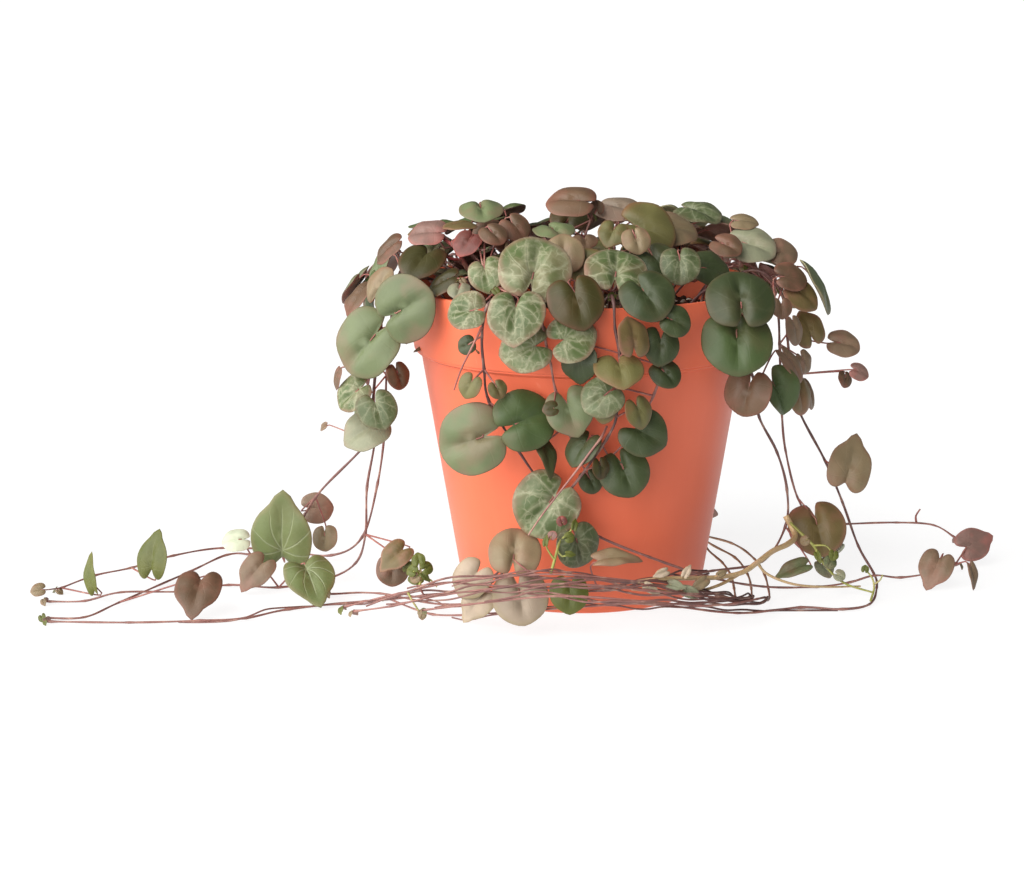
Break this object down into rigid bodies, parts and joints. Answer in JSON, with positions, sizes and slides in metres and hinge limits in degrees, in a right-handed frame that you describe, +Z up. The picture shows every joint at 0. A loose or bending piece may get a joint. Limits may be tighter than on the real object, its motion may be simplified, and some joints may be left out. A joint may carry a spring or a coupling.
{
  "type": "string of hearts plant in a nursery pot",
  "caption": "Trailing string of hearts vine with marbled heart leaves, growing in soil in a tapered plastic nursery pot.",
  "frame": {"origin": "centre of the pot's flat base, on the surface it stands on", "axes": "+Z up out of the pot, -Y towards the front, +X to the right along the trailing stems"},
  "size_m": [0.3365, 0.1712, 0.1399],
  "materials": {
    "pot": "satin moulded terracotta-orange plastic",
    "soil": "dark crumbly potting soil",
    "foliage": "fleshy silver-marbled heart leaves on thin purple-brown stems"
  },
  "bodies": {
    "root": {"pot": "pot", "soil": "soil", "vine_crown_back_1": "foliage", "vine_crown_back_10": "foliage", "vine_crown_back_11": "foliage", "vine_crown_back_12": "foliage", "vine_crown_back_13": "foliage", "vine_crown_back_14": "foliage", "vine_crown_back_15": "foliage", "vine_crown_back_2": "foliage", "vine_crown_back_3": "foliage", "vine_crown_back_4": "foliage", "vine_crown_back_5": "foliage", "vine_crown_back_6": "foliage", "vine_crown_back_7": "foliage", "vine_crown_back_8": "foliage", "vine_crown_back_9": "foliage", "vine_crown_far_right": "foliage", "vine_crown_front_left": "foliage", "vine_crown_left": "foliage", "vine_crown_middle": "foliage", "vine_crown_right": "foliage", "vine_crown_top": "foliage", "vine_curtain_1": "foliage", "vine_curtain_10": "foliage", "vine_curtain_11": "foliage", "vine_curtain_12": "foliage", "vine_curtain_2": "foliage", "vine_curtain_3": "foliage", "vine_curtain_4": "foliage", "vine_curtain_5": "foliage", "vine_curtain_6": "foliage", "vine_curtain_7": "foliage", "vine_curtain_8": "foliage", "vine_curtain_9": "foliage", "vine_front_dark": "foliage", "vine_front_left": "foliage", "vine_front_middle": "foliage", "vine_front_right": "foliage", "vine_left_cluster": "foliage", "vine_left_hanging": "foliage", "vine_left_upper": "foliage", "vine_marbled_left": "foliage", "vine_marbled_right": "foliage", "vine_right_front": "foliage", "vine_right_long": "foliage", "vine_right_side": "foliage", "vine_trail_high": "foliage", "vine_trail_low": "foliage", "vine_trail_middle": "foliage"}
  },
  "joints": []
}
